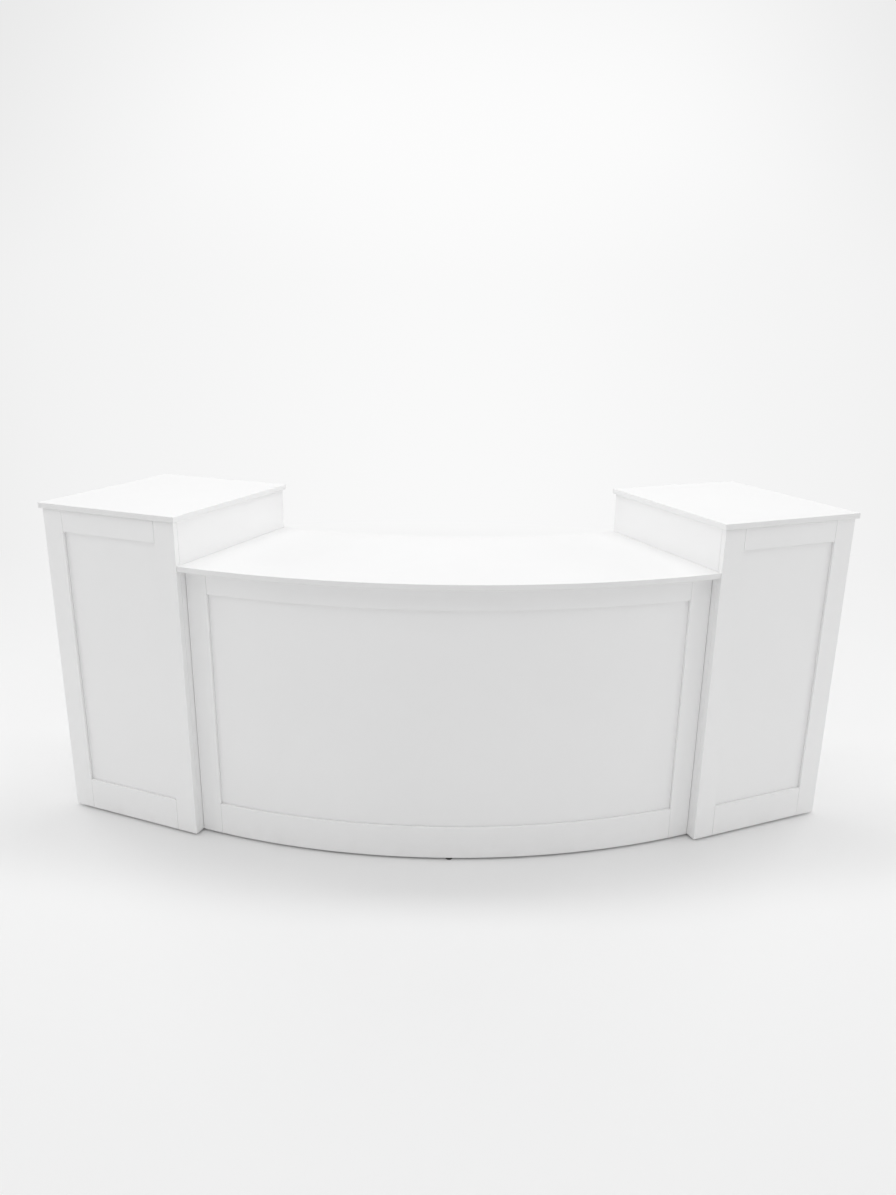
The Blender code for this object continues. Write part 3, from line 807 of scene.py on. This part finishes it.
def turned(radii, levels, place):
    """Turn rings about an upright axis: a row of radii, one for each column, stands at its level."""
    turn = full_turn(radii.shape[1])
    x, y, z = place[0] + radii * np.cos(turn), place[1] + radii * np.sin(turn), place[2] + levels
    return stacked(x, y, z)


def foot(name):
    """A screw-in foot: a nylon pad with a hexagonal collar, and a threaded stem.

    The pad is a turned profile whose collar rows take the hexagon's radius. The stem's radius is a wave
    round the mean of its thread: mean + half depth * wave(height / pitch - turn / full turn), drawn in at
    both ends.
    """
    low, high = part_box(name)
    place = ((low[0] + high[0]) / 2, (low[1] + high[1]) / 2, low[2])
    collar_top = high[2] - low[2] - STEM_LENGTH
    profile = np.array(PAD_PROFILE)
    edge = [(inset, collar_top - depth) for inset, depth in COLLAR_EDGE]
    collar = np.array([(0.0, COLLAR_START)] + edge)
    faceted = hexagon(full_turn(FOOT_COLUMNS), COLLAR_APOTHEM, COLLAR_CORNER) - collar[:, :1]
    inner = np.full((1, FOOT_COLUMNS), COLLAR_BORE)
    radii = np.concatenate([np.repeat(profile[:, :1], FOOT_COLUMNS, 1), faceted, inner])
    levels = np.concatenate([profile[:, 1:], collar[:, 1:], [[collar_top]]])
    new_piece(name + "_pad", turned(radii, levels, place), {}, NYLON, name, name)

    rows = np.linspace(0, 1, THREAD_ROWS)[:, None] * (STEM_LENGTH - STEM_START) + STEM_START
    phase = 2 * math.pi * rows / THREAD_PITCH - full_turn(THREAD_COLUMNS)
    wave = np.clip(THREAD_FULLNESS * np.cos(phase), -1, 1)
    drawn_in = np.minimum(np.minimum(rows - STEM_START, STEM_LENGTH - rows), THREAD_DEPTH)
    mean = STEM_RADIUS - THREAD_DEPTH / 2
    radii = np.minimum(mean + wave * THREAD_DEPTH / 2, STEM_RADIUS - THREAD_DEPTH + drawn_in)
    crest = (wave + 1) / 2
    stem = turned(radii, rows + collar_top, place)
    new_piece(name + "_stem", stem, {"edge": crest}, PLATED, name)


def connector(prefix, side, height):
    """A sleeve and bolt through the boards where a tower meets the counter.

    Each is a profile turned about an axis across the joint: a hexagonal socket, a domed flange, and a
    shank. Distance along the axis is measured outwards from the face that the flange bears on.
    """
    radius = TOWER_BACK + CONNECTOR_INSET
    turn = full_turn(CONNECTOR_COLUMNS)
    socket = np.tile(hexagon(turn, SOCKET_APOTHEM, SOCKET_CORNER), (len(SOCKET_LEVELS), 1))
    length = 2 * BOARD + FIT - SLEEVE_SHORTFALL
    reach = BOARD + BOLT_REACH - SLEEVE_SHORTFALL
    sleeve = [(SLEEVE_RADIUS, 0.0)] + [(wide, step - length) for wide, step in SLEEVE_END]
    sleeve += [(SLEEVE_BORE, BOARD + BOLT_REACH - length)]
    bolt = [(BOLT_RADIUS, 0.0)] + [(wide, step - reach) for wide, step in BOLT_END]
    for kind, shank, face, facing in (
        ("sleeve", sleeve, BOARD + FIT, 1),
        ("bolt", bolt, -2 * FIT - BOARD, -1),
    ):
        profile = np.array(FLANGE_PROFILE + shank)
        radii = np.concatenate([socket, np.repeat(profile[:, :1], CONNECTOR_COLUMNS, 1)])
        levels = np.concatenate([SOCKET_LEVELS, profile[:, 1]])[:, None]
        across = face + facing * levels
        grid = on_tower(side)(across, radius + radii * np.cos(turn), height + radii * np.sin(turn))
        mask = np.zeros(radii.shape)
        mask[len(SOCKET_LEVELS):][FLANGE_RIM] = 1
        new_piece(prefix + kind, grid, {"edge": mask}, PLATED, "counter", prefix + kind)


def stage():
    """A wide pale floor, whose far part takes the backdrop's colour so that no horizon shows."""
    turn = full_turn(FLOOR_STEPS)
    rim = FLOOR_RADIUS * np.stack([np.cos(turn), np.sin(turn), turn * 0], 1)
    mesh = bpy.data.meshes.new("floor")
    mesh.from_pydata(rim.tolist(), [], [list(range(len(rim)))])
    floor = bpy.data.objects.new("floor", mesh)
    bpy.context.scene.collection.objects.link(floor)

    material, tree, shader = blank_material("pale_floor")
    mesh.materials.append(material)
    place = node(tree, "TexCoord").outputs["Object"]
    shader.inputs["Base Color"].default_value = (FLOOR_TONE, FLOOR_TONE, FLOOR_TONE, 1)
    shader.inputs["Roughness"].default_value = FLOOR_ROUGHNESS
    shader.inputs["Specular IOR Level"].default_value = 0.0
    ahead = node(tree, "VectorMath", {0: place, 1: FLOOR_FOCUS}, operation="SUBTRACT").outputs["Vector"]
    distance = node(tree, "VectorMath", {0: place}, operation="LENGTH").outputs["Value"]
    fade = maths(tree, "MULTIPLY", ramp(tree, distance, *FLOOR_FADE), seen_directly(tree))
    colour = grouped(tree, BACKDROP_GLOW, {"Direction": ahead})["Colour"]
    glow = node(tree, "Emission", {"Color": colour})
    mixed = node(tree, "MixShader", {"Fac": fade, 1: shader.outputs[0], 2: glow.outputs[0]})
    tree.links.new(mixed.outputs[0], tree.nodes["Material Output"].inputs["Surface"])


def seen_directly(tree):
    """1 for rays from the camera, mirrored or carried through glass, and 0 for rays that gather light."""
    path = node(tree, "LightPath").outputs
    mirrored = maths(tree, "MAXIMUM", path["Is Glossy Ray"], path["Is Transmission Ray"])
    return maths(tree, "MAXIMUM", path["Is Camera Ray"], mirrored)


def lamp(name, place, target, size, power):
    """A soft box: an area lamp that faces its target and stays out of the picture."""
    source = bpy.data.lights.new(name, "AREA")
    source.shape = "RECTANGLE"
    source.size, source.size_y = size
    source.energy = power
    item = bpy.data.objects.new(name, source)
    item.location = place
    item.rotation_euler = (Vector(target) - Vector(place)).to_track_quat("-Z", "Y").to_euler()
    item.visible_camera = False
    item.visible_glossy = False
    bpy.context.scene.collection.objects.link(item)


def light():
    """Even light from a pale surround, with soft boxes."""
    world = bpy.data.worlds.new("pale_surround")
    bpy.context.scene.world = world
    world.use_nodes = True
    tree = world.node_tree
    surround = tree.nodes["Background"]
    surround.inputs["Color"].default_value = (1, 1, 1, 1)
    surround.inputs["Strength"].default_value = SURROUND
    direction = node(tree, "TexCoord").outputs["Generated"]
    colour = grouped(tree, BACKDROP_GLOW, {"Direction": direction})["Colour"]
    backdrop = node(tree, "Background", {"Color": colour})
    shown = seen_directly(tree)
    mixed = node(tree, "MixShader", {"Fac": shown, 1: surround.outputs[0], 2: backdrop.outputs[0]})
    tree.links.new(mixed.outputs[0], tree.nodes["World Output"].inputs["Surface"])
    for name, (place, size, power) in OVERHEAD_LAMPS.items():
        lamp(name, place, OVERHEAD_TARGET, size, power)
    for name, (out, back, height, power) in PAIRED_LAMPS.items():
        for side_name, side in SIDES.items():
            lamp(side_name + "_" + name, (side * out, back, height), PAIRED_TARGET, PAIRED_SIZE, power)


def camera():
    """The photograph's camera: pitched down, turned by its yaw, and rolled about its line of sight."""
    item = bpy.data.objects.new("camera", bpy.data.cameras.new("camera"))
    item.data.sensor_width = SENSOR_WIDTH
    item.data.lens = CAMERA_FOCAL * SENSOR_WIDTH / FRAME_HIGH
    item.data.clip_end = CAMERA_REACH
    aim = Matrix.Rotation(-CAMERA_YAW, 4, "Z") @ Matrix.Rotation(math.pi / 2 - CAMERA_PITCH, 4, "X")
    item.matrix_world = Matrix.Translation(CAMERA_PLACE) @ aim @ Matrix.Rotation(CAMERA_ROLL, 4, "Z")
    bpy.context.scene.collection.objects.link(item)
    bpy.context.scene.camera = item


for side_name, side in SIDES.items():
    tower(side_name)
    for level, height in CONNECTOR_HEIGHTS.items():
        connector(side_name + "_" + level + "_connector_", side, height)
counter()
for body in frame["bodies"]:
    if body.endswith("_foot"):
        foot(body)
stage()
light()
camera()
bpy.context.scene.view_settings.view_transform = "Standard"
